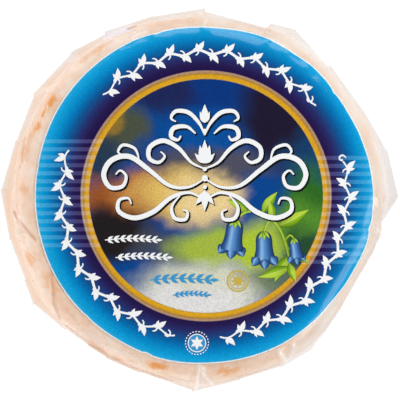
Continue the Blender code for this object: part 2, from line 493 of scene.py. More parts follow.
def make_film():
    """The film, from a ball whose segments become the columns and whose rings become the levels."""
    threads, levels = film_threads(), film_levels()
    bpy.ops.mesh.primitive_uv_sphere_add(segments=len(threads), ring_count=len(levels) + 1, radius=1.0)
    film = start_piece("film_wrap")
    for name in FILM_MARKS:
        film.data.attributes.new(name, "FLOAT", "POINT")
    haze, warmth, double, tone = (film.data.attributes[name].data for name in FILM_MARKS)
    for vertex in film.data.vertices:
        x, y, z = vertex.co
        if abs(z) > 1 - 1e-6:
            vertex.co = Vector((0, 0, (WRAP_HEIGHT if z > 0 else KNOT_HOLLOW) * MM))
            continue
        ring = round(math.acos(-z) / math.pi * (len(levels) + 1)) - 1
        column = round(math.atan2(y, x) / math.tau * len(threads)) % len(threads)
        x, y, z = film_point(threads[column], levels[ring])
        vertex.co = Vector((x, y, z)) * MM
        haze[vertex.index].value = haze_at(x, y, z, math.atan2(y, x))
        warmth[vertex.index].value = warmth_at(x, y, z, math.atan2(y, x))
        upper = smooth((z - 11) / 5)
        double[vertex.index].value = layers_at(x, y) * upper
        # The creases' tone, which below zero is painted shade on the fold's shadow side
        tone[vertex.index].value = crease_at(x, y)[1] * upper
    bpy.ops.object.shade_smooth_by_angle(angle=math.radians(38))
    film.data.materials.append(milky_film())
    film.visible_shadow = False
    film.visible_diffuse = False
    rest_on_wheel(film, "film", "wrapped_cheese")


def milky_film():
    """Waxed cellulose film, drawn and pleated: nearly clear, satin, and cloudier where the wax lies thick."""
    material, tree, shader = new_material("waxed_cellulose_film")
    where = node(tree, "TexCoord", {}, gives="Object")
    haze, warmth, double, tone = (
        node(tree, "Attribute", {}, gives="Fac", attribute_name=name) for name in FILM_MARKS
    )

    # How shut it is: the wax's haze, and more where a fold doubles it, or a crease whitens it or carries its
    # painted shade
    veil = node(tree, "MapRange", {"Value": haze, "To Min": 0.10, "To Max": 0.96})
    marked = node(tree, "Math", {0: tone}, operation="ABSOLUTE")
    marked = node(tree, "Math", {0: marked, 1: 1.5}, operation="MULTIPLY", use_clamp=True)
    doubled = node(tree, "Math", {0: double, 1: veil}, operation="ADD")
    shut = node(tree, "Math", {0: marked, 1: 0.6, 2: doubled}, operation="MULTIPLY_ADD", use_clamp=True)

    # Its colour: greyer low down and pearly above, then the rind's peach, the folds, and the creases over that,
    # whitened or darkened brown with painted shade on their shadow side
    height = node(tree, "SeparateXYZ", {0: where}, gives="Z")
    upper = node(tree, "MapRange", {
        "Value": height, "From Min": 14.0 * MM, "From Max": 25.0 * MM,
    }, interpolation_type="SMOOTHSTEP")
    # The creases' colours: brown below zero, a painted shade on the fold's shadow side with some of the rind's
    # stain, and whiter above zero
    tinted = node(tree, "MapRange", {"Value": tone, "From Min": -0.7, "From Max": 0.7})
    crease = node(tree, "ValToRGB", {"Fac": tinted}, stops=(
        (0.12, "#C48A62"), (0.5, "#E8DCD4"), (1.0, "#FAF7F6"),
    ))
    colour = from_hex("#D3CCC6")
    for share, laid_over in (
        (upper, from_hex("#E5DDD5")),
        (warmth, from_hex("#E0B592")),
        (double, from_hex("#DED2DA")),
        (marked, crease),
    ):
        colour = node(tree, "Mix", {"Factor": share, "A": colour, "B": laid_over}, data_type="RGBA")
    fibre = node(tree, "TexNoise", {"Vector": where, "Scale": 700.0, "Detail": 3.0})
    bump = node(tree, "Bump", {"Height": fibre, "Strength": 0.08, "Distance": 0.0002})
    feed(tree, shader, {
        "Base Color": colour, "Alpha": shut, "Normal": bump, "Roughness": 0.26, "Specular IOR Level": 0.8,
        "IOR": 1.48,
    })
    return material


# The cheese inside the film

CHEESE_RADIUS = 52.0
CHEESE_REACH = (
    # bearing in degrees, the rind's radius there at its widest
    (0, 54.6), (30, 53.0), (60, 54.4), (90, 54.2), (120, 55.0), (135, 56.0), (150, 56.4), (180, 56.8),
    (200, 56.0), (212, 56.2), (222, 54.0), (240, 53.0), (266, 55.0), (282, 52.9), (296, 53.0), (320, 50.4),
    (340, 52.2), (360, 54.6),
)
CHEESE_TOP = 28.8
CHEESE_FOOT = 1.15
CHEESE_ROUND = 6.2
RIND_ROOM = 0.8
BLOTCHES = (
    # x, y, size and strength of the orange patches of the rind, in millimetres from the wheel's middle
    (-42.5, 28.2, 1.35, 1.0),
    (-44.8, 24.5, 0.75, 0.85),
    (-46.4, 20.9, 1.0, 0.8),
    (-48.2, 18.6, 1.1, 0.45),
    (-50.3, 14.0, 1.8, 0.45),
    (-50.1, 2.9, 1.6, 0.35),
    (-48.7, -16.8, 1.7, 0.5),
    (-42.5, -24.0, 2.2, 0.4),
    (-31.0, -41.5, 1.2, 0.7),
    (-27.8, -44.1, 1.1, 0.7),
    (-23.8, -45.3, 0.9, 0.6),
    (-12.8, -47.1, 1.15, 1.0),
    (-10.7, -47.4, 1.05, 0.9),
    (7.0, -48.9, 1.35, 0.85),
    (10.2, -48.4, 1.0, 0.7),
    (25.0, -41.5, 1.6, 0.4),
    (31.1, -38.2, 1.4, 0.45),
    (-33.0, 40.8, 1.4, 0.4),
    (-28.8, 43.4, 1.5, 0.45),
    (-12.0, 50.2, 1.3, 0.15),
    (-7.0, 50.9, 1.2, 0.2),
    (-2.6, 51.0, 1.1, 0.2),
    (9.2, 50.3, 1.3, 0.3),
    (14.3, 48.8, 1.2, 0.3),
    (50.7, 1.4, 1.3, 0.4),
)


def reach_from(table, degrees):
    """The reach at a bearing from a table of bearings and reaches, eased between its rows."""
    index = bisect.bisect(table, (degrees, 999.0))
    (start, low), (end, high) = table[index - 1], table[index % len(table)]
    return low + (high - low) * smooth((degrees - start) / max(1, end - start))


def film_inside(bearing, height):
    """The film's radius at a bearing and a height, less its room over the rind."""
    inset = 0.0
    if height < BOTTOM_ROUND:
        inset = BOTTOM_ROUND - math.sqrt(BOTTOM_ROUND**2 - (BOTTOM_ROUND - height) ** 2)
    elif height > SHOULDER_START:
        inset = SHOULDER - math.sqrt(max(0.0, SHOULDER**2 - (height - SHOULDER_START) ** 2))
    room = RIND_ROOM + 0.5 * smooth(1 - height / BOTTOM_ROUND)
    return body_radius(film_reach(bearing), spread_at(height)) - inset - room


def cheese_squeeze(x, y, z):
    """How far a point of the round block moves out or in, as a share, to the rind inside the film."""
    bearing, radius = math.atan2(y, x), math.hypot(x, y)
    if radius < 20:
        return 1.0
    wanted = radius * reach_from(CHEESE_REACH, math.degrees(bearing) % 360) / CHEESE_RADIUS
    inside = min(film_inside(bearing + math.radians(turn), z) for turn in (-1.5, 0, 1.5))
    return min(wanted, inside) / radius


def make_cheese():
    """The wheel: a disc drawn up into a block, its edges rolled over, then lumpy as moulding left it."""
    bpy.ops.mesh.primitive_circle_add(
        vertices=320, radius=CHEESE_RADIUS * MM, location=(0, 0, CHEESE_FOOT * MM), fill_type="NGON",
    )
    cheese = start_piece("cheese_wheel")
    bpy.ops.object.transform_apply(location=True, rotation=True, scale=True)
    rises = [CHEESE_ROUND] + [(CHEESE_TOP - CHEESE_FOOT - 2 * CHEESE_ROUND) / 12] * 12 + [CHEESE_ROUND]
    bpy.ops.object.mode_set(mode="EDIT")
    bpy.ops.mesh.select_all(action="SELECT")
    for rise in rises:
        bpy.ops.mesh.extrude_region_move(TRANSFORM_OT_translate={"value": (0, 0, rise * MM)})
    bpy.ops.mesh.select_mode(type="EDGE")
    bpy.ops.mesh.select_all(action="DESELECT")
    bpy.ops.object.mode_set(mode="OBJECT")
    for edge in cheese.data.edges:
        heights = {round(cheese.data.vertices[i].co.z / MM, 2) for i in edge.vertices}
        edge.select = heights in ({CHEESE_FOOT}, {CHEESE_TOP})
    bpy.ops.object.mode_set(mode="EDIT")
    bpy.ops.mesh.bevel(offset=CHEESE_ROUND * 0.98 * MM, segments=10, profile=0.5)
    bpy.ops.mesh.select_mode(type="FACE")
    bpy.ops.mesh.select_all(action="DESELECT")
    bpy.ops.object.mode_set(mode="OBJECT")
    for face in cheese.data.polygons:
        face.select = len(face.vertices) > 4
    bpy.ops.object.mode_set(mode="EDIT")
    for width in (1, 1, 1.5, 2, 3, 4, 6, 8, 10):
        bpy.ops.mesh.inset(thickness=width * MM, use_individual=True)
    bpy.ops.mesh.poke()
    bpy.ops.object.mode_set(mode="OBJECT")
    for vertex in cheese.data.vertices:
        squeeze = cheese_squeeze(*(vertex.co / MM))
        vertex.co.x *= squeeze
        vertex.co.y *= squeeze
    for name, size, depth in (("lumps", 11.0, 0.55), ("wrinkles", 2.6, 0.20)):
        texture = bpy.data.textures.new(name, "CLOUDS")
        texture.noise_scale = size * MM
        lumps = cheese.modifiers.new(name, "DISPLACE")
        lumps.texture = texture
        lumps.texture_coords = "LOCAL"
        lumps.strength = depth * MM
        bpy.ops.object.modifier_apply(modifier=name)
    blush = cheese.data.attributes.new("blush", "FLOAT", "POINT")
    for vertex in cheese.data.vertices:
        x, y, z = vertex.co / MM
        patch = 0.0
        for px, py, size, strength in BLOTCHES:
            inward = (x * px + y * py) / math.hypot(px, py) - math.hypot(px, py)
            beside = (y * px - x * py) / math.hypot(px, py)
            ragged = size * (1 + 0.8 * noise.noise(Vector((x, y, z)) / 1.1))
            patch = max(patch, strength * smooth(1.5 - math.hypot(inward / 0.8, beside / 1.4) / ragged))
        blush.data[vertex.index].value = patch if z > 8 else 0.0
    bpy.ops.object.shade_smooth()
    cheese.data.materials.append(ripened_rind())
    rest_on_wheel(cheese, "film", "wrapped_cheese")


def ripened_rind():
    """Washed rind with a thin bloom: damp peach, mealy white where it took, orange where it rubbed off."""
    material, tree, shader = new_material("washed_rind")
    where = node(tree, "TexCoord", {}, gives="Object")
    broad, mealy, speck = (
        node(tree, "TexNoise", {"Vector": where, "Scale": scale, "Detail": detail, "Roughness": rough})
        for scale, detail, rough in ((90.0, 5.0, 0.65), (520.0, 4.0, 0.7), (900.0, 6.0, 0.75))
    )
    bloom = node(tree, "MapRange", {"Value": mealy, "From Min": 0.45, "From Max": 0.75, "To Max": 0.45})
    damp = node(tree, "MapRange", {"Value": speck, "From Min": 0.56, "From Max": 0.68, "To Max": 0.2})
    height = node(tree, "SeparateXYZ", {0: where}, gives="Z")
    lower = node(tree, "MapRange", {
        "Value": height, "From Min": 24.0 * MM, "From Max": 13.0 * MM, "To Max": 0.85,
    }, interpolation_type="SMOOTHSTEP")
    blush = node(tree, "Attribute", {}, gives="Fac", attribute_name="blush")
    bitten = node(tree, "Math", {0: speck, 1: 2.6, 2: -0.62}, operation="MULTIPLY_ADD")
    patchy = node(tree, "Math", {0: blush, 1: bitten}, operation="MULTIPLY")
    patchy = node(tree, "Math", {0: patchy, 1: 1.7}, operation="MULTIPLY", use_clamp=True)
    colour = node(tree, "ValToRGB", {"Fac": broad}, stops=(
        (0.30, "#E4B99C"), (0.44, "#E9C7AE"), (0.56, "#EDD4C1"), (0.70, "#F0E1D5"),
    ))
    for share, laid_over in ((bloom, "#F7E9DE"), (damp, "#E2A066"), (lower, "#EEE2DB"), (patchy, "#E2902C")):
        colour = node(tree, "Mix", {"Factor": share, "A": colour, "B": from_hex(laid_over)}, data_type="RGBA")
    bump = node(tree, "Bump", {"Height": mealy, "Strength": 0.25, "Distance": 0.0003})
    feed(tree, shader, {
        "Base Color": colour, "Normal": bump, "Roughness": 0.62,
        "Subsurface Weight": 0.2, "Subsurface Radius": (1.0, 0.6, 0.35), "Subsurface Scale": 0.003,
    })
    return material


# The label's sheet

PAPER = 0.12
LABEL_LIFT = 0.08
LABEL_RINGS = (0.4, 0.5, 0.6, 0.7, 0.8, 0.9, 1.0, 1.2, 1.5, 2, 3, 4, 5, 6, 7, 7)
LABEL_REACH = (
    # bearing about the label's middle, and how far out its cut edge lies there: it was cut by hand
    (0, 48.3), (10, 48.0), (20, 47.65), (30, 47.3), (37, 47.35), (45, 47.8), (50, 48.0), (57, 47.8),
    (70, 48.25), (85, 47.9), (105, 48.3), (115, 48.65), (145, 48.65), (170, 48.45), (190, 48.5), (210, 48.6),
    (240, 48.35), (255, 48.5), (275, 48.1), (295, 48.1), (310, 47.8), (320, 47.5), (330, 47.8), (345, 48.45),
    (360, 48.3),
)
LABEL_DENTS = (
    # bearing about the label's middle, half width in degrees and depth of a small fold of its edge
    (250.0, 1.6, 0.5),
    (38.5, 1.4, 0.3),
    (-11.5, 2.2, 0.5),
    (171.0, 1.2, 0.3),
    (226.0, 1.0, 0.3),
    (106.5, 1.5, 0.3),
)
LABEL_FLUTES = (
    # bearing, half width in degrees and height of a ripple that runs in from the label's edge
    (89.5, 2.3, 0.62),
    (68.4, 2.2, 0.58),
    (98.0, 2.2, 0.12),
    (78.0, 2.6, 0.16),
    (60.5, 2.0, 0.20),
    (51.0, 3.2, 0.35),
    (107.5, 3.2, 0.35),
    (-14.0, 2.6, 0.22),
    (-45.0, 4.0, 0.16),
)


def label_height(x, y):
    """The label's printed face over a point: it lies on the film and bends down with the shoulder."""
    return height_over(x, y) + LABEL_LIFT + PAPER


def make_label():
    """The label: a disc cut into rings, laid over the wheel's top, then given the paper's thickness."""
    bpy.ops.mesh.primitive_circle_add(vertices=300, radius=LABEL_RADIUS * MM, fill_type="NGON")
    label = start_piece("label_sheet")
    bpy.ops.object.mode_set(mode="EDIT")
    bpy.ops.mesh.select_all(action="SELECT")
    for width in LABEL_RINGS:
        bpy.ops.mesh.inset(thickness=width * MM)
    bpy.ops.mesh.poke()
    bpy.ops.object.mode_set(mode="OBJECT")
    rim = label.data.attributes.new("rim", "FLOAT", "POINT")
    for vertex in label.data.vertices:
        x, y = vertex.co.x / MM, vertex.co.y / MM
        radius, bearing = math.hypot(x, y), math.degrees(math.atan2(y, x)) % 360
        cut = 1 + (reach_from(LABEL_REACH, bearing) / LABEL_RADIUS - 1) * smooth((radius - 40) / 8)
        x, y = x * cut + LABEL_CENTRE[0], y * cut + LABEL_CENTRE[1]
        rim.data[vertex.index].value = LABEL_RADIUS - radius
        near_edge = smooth((radius - LABEL_RADIUS + 3) / 3)
        dent = 0.0
        for at, width, depth in LABEL_DENTS:
            off = between(bearing, at) / width
            dent += depth * near_edge * max(0.0, 1 - off)
        buckle = 0.18 * near_edge * abs(noise.noise(Vector((x, y, 0)) / 3.6))
        for at, width, height in LABEL_FLUTES:
            off = between(bearing, at) / width
            buckle += height * near_edge * smooth(1 - off)
        vertex.co = Vector((x, y, label_height(x, y) + buckle + 0.25 * dent)) * MM
        if dent:
            vertex.co.x -= math.cos(math.radians(bearing)) * dent * MM
            vertex.co.y -= math.sin(math.radians(bearing)) * dent * MM
    thickness = label.modifiers.new("paper", "SOLIDIFY")
    thickness.thickness = PAPER * MM
    thickness.offset = -1.0
    bpy.ops.object.modifier_apply(modifier="paper")
    bpy.ops.object.shade_smooth_by_angle(angle=math.radians(40))
    label.data.materials.append(printed_paper())
    rest_on_wheel(label, "label_paper", "label")


# The printed design about the label's middle: the gold ring's own middle and its edges, the blue ring's fade,
# and the level stripes, each side's with its hand, foot and head
RING_CENTRE = (0.37, -0.34)
GILT_INNER = 33.2
GILT_OUTER = 36.0
FADE_INNER = 35.0
FADE_OUTER = 48.5
STRIPE_PITCH = 1.14
STRIPE_START = 25.0
STRIPE_SIDES = ((-1, -14.97, 15.77), (1, -19.71, 11.07))

# How glossy the varnished inks are, shared by the sheet and the ornaments on it
PRINT_GLOSS = 0.28
INK_ROUGHNESS = 0.2

SOFT_FIELDS = (
    # The label's out-of-focus meadow: colour, middle, half width, half height in millimetres, and strength
    ("#06347C", 0.0, 33.0, 36.0, 13.0, 0.9),
    ("#05519E", 3.0, 17.0, 22.0, 11.0, 0.8),
    ("#1E1730", 22.0, 22.0, 17.0, 20.0, 1.0),
    ("#221C3A", -12.0, 30.0, 12.0, 9.0, 0.7),
    ("#4E5230", -23.0, 19.0, 10.0, 11.0, 0.9),
    ("#A07C24", -26.0, 21.0, 5.0, 6.0, 0.7),
    ("#26384A", -30.0, 11.0, 9.0, 10.0, 0.9),
    ("#14406C", 29.0, 10.0, 10.0, 10.0, 0.8),
    ("#57504E", 1.0, 8.5, 24.0, 7.0, 0.8),
    ("#9A5626", -24.0, -1.0, 17.0, 10.0, 1.0),
    ("#C08044", -16.0, 1.0, 14.0, 9.0, 0.9),
    ("#E2BE66", -6.0, 0.0, 18.0, 10.0, 1.0),
    ("#EED296", 1.0, -1.0, 15.0, 10.0, 1.0),
    ("#2E6A22", 30.0, -4.0, 12.0, 17.0, 1.0),
    ("#57902E", 27.0, -9.0, 11.0, 12.0, 0.9),
    ("#1C4030", 29.0, -15.0, 9.0, 9.0, 0.9),
    ("#201C1E", -26.0, -11.0, 15.0, 11.0, 1.0),
    ("#4A4A4A", -13.0, -15.0, 11.0, 8.0, 0.7),
    ("#A8BE3C", 2.0, -15.0, 17.0, 8.0, 0.95),
    ("#B4CC28", 15.0, -15.0, 11.0, 10.0, 0.9),
    ("#D6D8C0", 0.0, -27.0, 25.0, 11.0, 1.0),
    ("#E2E1DF", -4.0, -31.0, 22.0, 8.0, 1.0),
    ("#6C7C3A", 21.0, -24.0, 10.0, 8.0, 0.7),
)


def printed_paper():
    """Coated paper, offset printed and varnished: soft fields of ink, crisp rings and a white cut edge."""
    material, tree, shader = new_material("varnished_print")
    where = node(tree, "TexCoord", {}, gives="Object")
    centre = (LABEL_CENTRE[0] * MM, LABEL_CENTRE[1] * MM, 0.0)
    centred = node(tree, "VectorMath", {0: where, 1: centre}, operation="SUBTRACT")
    spot = node(tree, "VectorMath", {0: centred, 1: (1 / MM, 1 / MM, 0.0)}, operation="MULTIPLY")
    aside, up = (node(tree, "SeparateXYZ", {0: spot}, gives=axis) for axis in "XY")
    out = node(tree, "VectorMath", {0: spot}, operation="LENGTH")
    in_ring = node(tree, "VectorMath", {0: spot, 1: (*RING_CENTRE, 0.0)}, operation="DISTANCE")

    # The picture's fields, each a soft oval laid over those before it
    warp = node(tree, "TexNoise", {"Vector": spot, "Scale": 0.11, "Detail": 3.0}, gives="Color")
    swirl = node(tree, "VectorMath", {
        0: warp, 1: (9.0, 9.0, 0.0), 2: (-4.5, -4.5, 0.0),
    }, operation="MULTIPLY_ADD")
    drifted = node(tree, "VectorMath", {0: spot, 1: swirl}, operation="ADD")
    whole = from_hex("#05458E")
    for colour, x, y, wide, high, strength in SOFT_FIELDS:
        local = node(tree, "Mapping", {
            "Vector": drifted, "Location": (x, y, 0.0), "Scale": (wide, high, 1.0),
        }, vector_type="TEXTURE")
        ball = node(tree, "TexGradient", {"Vector": local}, gives="Fac", gradient_type="SPHERICAL")
        share = node(tree, "MapRange", {
            "Value": ball, "From Max": 0.62, "To Max": strength,
        }, interpolation_type="SMOOTHSTEP")
        whole = node(tree, "Mix", {"Factor": share, "A": whole, "B": from_hex(colour)}, data_type="RGBA")

    # The outer ring's fade from night blue to azure, and its paler twin for the stripes
    fade = node(tree, "MapRange", {"Value": out, "From Min": FADE_INNER, "From Max": FADE_OUTER})
    ring = node(tree, "ValToRGB", {"Fac": fade}, stops=(
        (0.04, "#1F0E46"), (0.17, "#24194E"), (0.29, "#262A66"), (0.38, "#1E3D7A"), (0.49, "#0A5492"),
        (0.61, "#006FB0"), (0.74, "#008CCB"), (0.87, "#0AA0DA"), (1.0, "#22ACE2"),
    ))
    pale_ring = node(tree, "ValToRGB", {"Fac": fade}, stops=(
        (0.04, "#483A6A"), (0.17, "#484278"), (0.30, "#44558E"), (0.42, "#3A6EAA"), (0.55, "#3088C0"),
        (0.74, "#389ED6"), (0.87, "#44AEE0"), (1.0, "#5CBCE8"),
    ))

    # The gold ring between picture and outer ring, with its fine lines
    gilt_place = node(tree, "MapRange", {"Value": in_ring, "From Min": GILT_INNER, "From Max": GILT_OUTER})
    gilt = node(tree, "ValToRGB", {"Fac": gilt_place}, stops=(
        (0.0, "#5C3E14"), (0.07, "#D2A23E"), (0.18, "#DEA722"), (0.46, "#DAA01C"), (0.55, "#B4863A"),
        (0.68, "#AE864E"), (0.79, "#B8957A"), (0.88, "#A48474"), (0.95, "#2A1438"), (1.0, "#1F0E46"),
    ))

    # Level stripes that cross the ring at either side, and show faintly on the gold
    stripes = 0.0
    for side, low, high in STRIPE_SIDES:
        shifted = node(tree, "Math", {0: up, 1: low + STRIPE_PITCH / 2}, operation="SUBTRACT")
        turns = node(tree, "Math", {0: shifted, 1: STRIPE_PITCH}, operation="DIVIDE")
        saw = node(tree, "Math", {0: turns, 1: 1.0}, operation="PINGPONG")
        here = node(tree, "MapRange", {
            "Value": saw, "From Min": 0.42, "From Max": 0.58, "To Min": 1.0, "To Max": 0.0,
        })
        outward = node(tree, "Math", {0: aside, 1: side}, operation="MULTIPLY")
        for place, limit, test in (
            (up, low, "GREATER_THAN"), (up, high, "LESS_THAN"), (outward, STRIPE_START, "GREATER_THAN"),
        ):
            within = node(tree, "Math", {0: place, 1: limit}, operation=test)
            here = node(tree, "Math", {0: here, 1: within}, operation="MULTIPLY")
        stripes = node(tree, "Math", {0: stripes, 1: here}, operation="ADD")
    faint = node(tree, "Math", {0: stripes, 1: 0.16}, operation="MULTIPLY")
    ring = node(tree, "Mix", {"Factor": stripes, "A": ring, "B": pale_ring}, data_type="RGBA")
    gilt = node(tree, "Mix", {"Factor": faint, "A": gilt, "B": from_hex("#F6F2EA")}, data_type="RGBA")

    # From the middle outwards: the picture, the gold, the blue ring and the sheet's bare cut edge
    past_picture, past_gilt = (
        node(tree, "MapRange", {"Value": in_ring, "From Min": start, "From Max": end})
        for start, end in ((GILT_INNER, GILT_INNER + 0.15), (GILT_OUTER - 0.25, GILT_OUTER - 0.05))
    )
    rim = node(tree, "Attribute", {}, gives="Fac", attribute_name="rim")
    bare = node(tree, "MapRange", {
        "Value": rim, "From Min": 0.24, "From Max": 0.38, "To Min": 1.0, "To Max": 0.0,
    })
    for share, laid_over in ((past_picture, gilt), (past_gilt, ring), (bare, from_hex("#EEF3F4"))):
        whole = node(tree, "Mix", {"Factor": share, "A": whole, "B": laid_over}, data_type="RGBA")

    # The press leaves a faint grain in the ink
    grain = node(tree, "TexNoise", {"Vector": where, "Scale": 2200.0, "Detail": 2.0})
    lightness = node(tree, "MapRange", {
        "Value": grain, "From Min": 0.3, "From Max": 0.7, "To Min": 0.83, "To Max": 1.10,
    })
    inked = node(tree, "VectorMath", {0: whole, 1: lightness}, operation="MULTIPLY")
    bump = node(tree, "Bump", {"Height": grain, "Strength": 0.06, "Distance": 0.0001})
    feed(tree, shader, {
        "Base Color": inked, "Normal": bump, "Roughness": 0.17, "Specular IOR Level": PRINT_GLOSS,
    })
    return material


# The label's ornaments, in ink laid on the sheet

INK = 0.02

# Bands laid one after another step up by a hair, over so many turns, so that no two that cross share a plane
STACK_STEP = 0.0012
STACK_TURNS = 16


def flowing(controls, parts=8):
    """Points along a smooth curve through the controls, with so many parts between each two."""
    ends = [controls[0], *controls, controls[-1]]
    points = []
    for four in zip(ends, ends[1:], ends[2:], ends[3:]):
        for part in range(parts):
            t = part / parts
            points.append(tuple(
                b + 0.5 * ((c - a) * t + (2 * a - 5 * b + 4 * c - d) * t**2 + (3 * (b - c) - a + d) * t**3)
                for a, b, c, d in zip(*four)
            ))
    return [*points, controls[-1]]


def swelling(count, thick, thin, peak=0.5):
    """Widths of a pen stroke that starts thin, swells to thick at a share of its way, and ends thin."""
    widths = []
    for index in range(count):
        share = index / (count - 1)
        share = share / peak * 0.5 if share < peak else 0.5 + (share - peak) / (1 - peak) * 0.5
        widths.append(thin + (thick - thin) * math.sin(math.pi * share) ** 1.2)
    return widths


def band(points, widths, lift):
    """Lay a band of ink with these widths along points about the label's middle, at a lift over the sheet."""
    count = len(points) - 1
    lift += STACK_STEP * (len(bpy.data.meshes) % STACK_TURNS)
    bpy.ops.mesh.primitive_grid_add(x_subdivisions=count, y_subdivisions=4, size=1.0)
    laid = bpy.context.object
    for name in ("along", "across"):
        laid.data.attributes.new(name, "FLOAT", "POINT")
    along, across = laid.data.attributes["along"], laid.data.attributes["across"]
    for vertex in laid.data.vertices:
        index = round((vertex.co.x + 0.5) * count)
        side = vertex.co.y * 2
        (ax, ay), (bx, by) = points[max(0, index - 1)], points[min(count, index + 1)]
        length = math.hypot(bx - ax, by - ay) or 1.0
        half = widths[index] / 2 * side
        x = points[index][0] - (by - ay) / length * half + LABEL_CENTRE[0]
        y = points[index][1] + (bx - ax) / length * half + LABEL_CENTRE[1]
        along.data[vertex.index].value = index / count
        across.data[vertex.index].value = side
        vertex.co = Vector((x, y, label_height(x, y) + lift)) * MM
    return laid


def leaf(x, y, bearing, length, width, lift, bend=0.0):
    """A pointed leaf or petal from its foot, along a bearing in degrees that bends as it goes."""
    turn = math.radians(bearing)
    ahead, aside = (math.cos(turn), math.sin(turn)), (-math.sin(turn), math.cos(turn))
    points, widths = [], []
    for step in range(9):
        share = step / 8
        on, off = length * share, bend * length * share**2
        points.append((x + ahead[0] * on + aside[0] * off, y + ahead[1] * on + aside[1] * off))
        widths.append(max(0.1, width * math.sin(math.pi * share**0.8)))
    return band(points, widths, lift)


def dot(x, y, radius, lift):
    """A round spot of ink."""
    turns = [math.pi * step / 10 for step in range(11)]
    points = [(x - radius * math.cos(turn), y) for turn in turns]
    return band(points, [max(0.05, 2 * radius * math.sin(turn)) for turn in turns], lift)


def hoop(x, y, radius, width, lift):
    """A thin ring of ink."""
    turns = [math.tau * step / 40 for step in range(41)]
    points = [(x + radius * math.cos(turn), y + radius * math.sin(turn)) for turn in turns]
    return band(points, [width] * 41, lift)


def from_centre(bearing, radius):
    """The point at a bearing in degrees and a distance from the label's middle."""
    return radius * math.cos(math.radians(bearing)), radius * math.sin(math.radians(bearing))


def vine(start, end, lift):
    """A vine along an arc of the outer ring: a waving stem, leaves at its bends, and curled tendrils."""
    middle, wave, period = 40.7, 0.6, 11.4
    laid = []
    steps = round(abs(end - start) / 0.9)
    bearings = [start + (end - start) * step / steps for step in range(steps + 1)]

    def stem(bearing):
        """How far out the waving stem runs at a bearing."""
        return middle + wave * math.sin(math.tau * (bearing - start) / period)

    points = [from_centre(bearing, stem(bearing)) for bearing in bearings]
    laid.append(band(points, swelling(len(points), 0.75, 0.45), lift - 0.03))
    hand = -1 if end > start else 1
    count = int(abs(end - start) / period * 2)
    for turn in range(count):
        bearing = start + math.copysign(period / 4 + turn * period / 2, end - start)
        outward = 1 if math.sin(math.tau * (bearing - start) / period) > 0 else -1
        x, y = from_centre(bearing, stem(bearing) - 0.1 * outward)
        heading = bearing + 90 * -hand
        size = random.uniform(2.8, 3.4)
        laid.append(leaf(x, y, heading + 46 * hand * outward, size, 1.45, lift, 0.14 * outward * hand))
        back = heading + 100 * hand * outward
        laid.append(leaf(x, y, back, size * 0.66, 1.05, lift, -0.08 * outward * hand))
        curl = []
        for step in range(15):
            share = step / 14
            swing = math.radians(bearing) + math.radians(-hand * (period * 0.14 + 3.0))
            reach = stem(bearing) - outward * 0.9
            cx, cy = reach * math.cos(swing), reach * math.sin(swing)
            spin = math.radians(bearing) + math.pi * (0 if outward > 0 else 1) - hand * outward * share * 4.6
            tight = 1.15 * (1 - 0.62 * share)
            curl.append((cx + tight * math.cos(spin), cy + tight * math.sin(spin)))
        laid.append(band(curl, swelling(15, 0.5, 0.3, 0.4), lift))
        laid.append(dot(*curl[-1], 0.32, lift))
    return laid


def sprig(x, y, length, leaf_length, leaf_width, lift):
    """A level twig with paired leaves."""
    laid = [band(flowing([(x, y), (x + length / 2, y + 0.5), (x + length, y)]), [0.3] * 17, lift)]
    count = round(length / (leaf_length * 0.95))
    for index in range(count):
        share = (index + 0.4) / count
        foot = x + length * share, y + 2.0 * share * (1 - share)
        laid.append(leaf(*foot, 38, leaf_length, leaf_width, lift, -0.12))
        laid.append(leaf(*foot, -38, leaf_length, leaf_width, lift, 0.12))
    laid.append(leaf(x + length, y, 0, leaf_length, leaf_width, lift))
    return laid


FLOURISH = (
    # Pen strokes of the right half of the centre's flourish: thickest and thinnest width, then its points
    (1.5, 0.4, (0.0, 4.6), (4.5, 2.2), (10.0, 2.6), (16.0, 7.2), (21.5, 10.9), (26.6, 9.8), (28.8, 5.8),
     (27.0, 2.2), (23.5, 2.4), (22.4, 5.2), (24.0, 6.9), (25.4, 5.8)),
    (1.35, 0.38, (0.0, 7.4), (3.8, 9.2), (7.4, 13.2), (11.8, 15.4), (15.6, 13.6), (15.8, 10.4), (13.2, 9.2),
     (11.4, 10.9), (12.6, 12.3)),
    (1.3, 0.4, (2.6, 17.4), (5.2, 19.4), (8.8, 19.0), (9.6, 16.6), (7.7, 15.6), (6.8, 16.8)),
    (1.2, 0.35, (0.0, 17.0), (1.6, 20.4), (4.6, 23.4), (8.2, 23.8), (9.6, 21.9), (8.2, 20.8)),
    (1.4, 0.38, (0.0, -1.6), (4.4, 0.6), (9.6, -0.8), (14.6, -4.8), (20.0, -6.6), (24.4, -4.8), (24.4, -1.6),
     (21.8, -1.0), (20.9, -2.7)),
    (1.1, 0.35, (7.0, -0.2), (9.4, -3.4), (8.6, -6.6), (5.6, -7.0), (4.9, -5.0), (6.3, -4.2)),
    (0.9, 0.3, (18.6, 9.4), (19.8, 13.0), (23.2, 14.2), (24.7, 12.3), (23.4, 11.2)),
)


